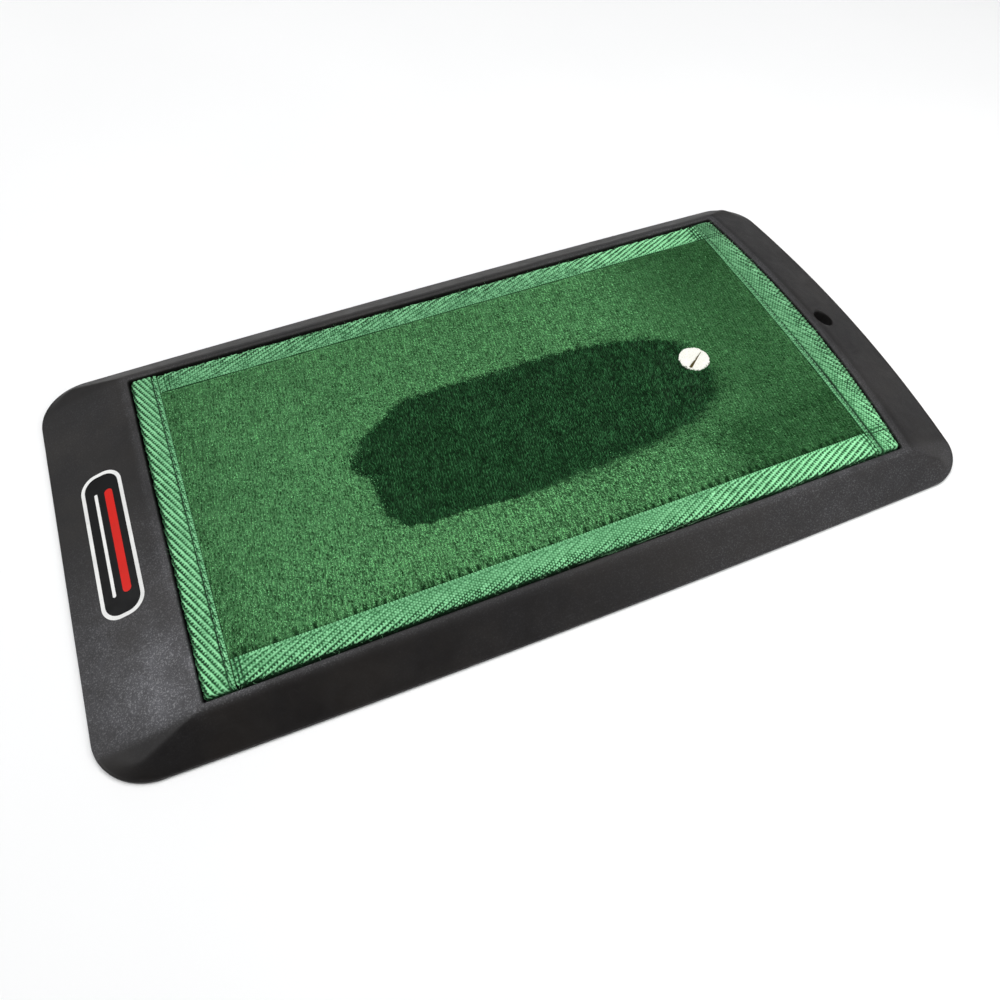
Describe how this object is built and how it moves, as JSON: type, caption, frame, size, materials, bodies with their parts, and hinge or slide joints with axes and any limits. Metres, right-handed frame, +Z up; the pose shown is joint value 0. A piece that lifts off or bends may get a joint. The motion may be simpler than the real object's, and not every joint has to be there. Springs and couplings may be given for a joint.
{
  "type": "golf hitting mat",
  "caption": "Low rubber tray with sloped borders and a hanging hole, holding a tape-bound velour strike pad with a ball spot for practising golf swings.",
  "frame": {"origin": "under the middle of the tray, on the surface that the mat lies on", "axes": "+X along the mat towards the end with the hanging hole, +Y towards the back edge, +Z up"},
  "size_m": [0.61, 0.318, 0.021],
  "materials": {
    "tray_rubber": "satin moulded, scuffed",
    "label_ink": "printed transfer in black, white and red",
    "hook_tape": "woven hook tape",
    "loop_tape": "brushed loop tape",
    "backing_sheet": "non-woven sheet",
    "foam": "closed-cell foam",
    "velour": "short cut pile",
    "binding_tape": "coarse twill webbing",
    "seam_thread": "twisted thread",
    "spot_white": "matt white felt"
  },
  "bodies": {
    "tray": {"base_tray": "tray_rubber", "label_decal": "label_ink", "hook_strip_front": "hook_tape", "hook_strip_back": "hook_tape", "hook_strip_left": "hook_tape", "hook_strip_right": "hook_tape"},
    "pad": {"loop_strip_front": "loop_tape", "loop_strip_back": "loop_tape", "loop_strip_left": "loop_tape", "loop_strip_right": "loop_tape", "pad_backing": "backing_sheet", "foam_core": "foam", "pile_face": "velour", "ball_spot": "spot_white", "tape_left": "binding_tape", "tape_right": "binding_tape", "tape_front": "binding_tape", "tape_back": "binding_tape", "stitch_left": "seam_thread", "stitch_right": "seam_thread", "stitch_front": "seam_thread", "stitch_back": "seam_thread"}
  },
  "joints": [
    {"name": "pad_lift", "type": "slide", "parent": "tray", "child": "pad", "axis": [0, 0, 1], "range_m": [0, 0.06]}
  ]
}
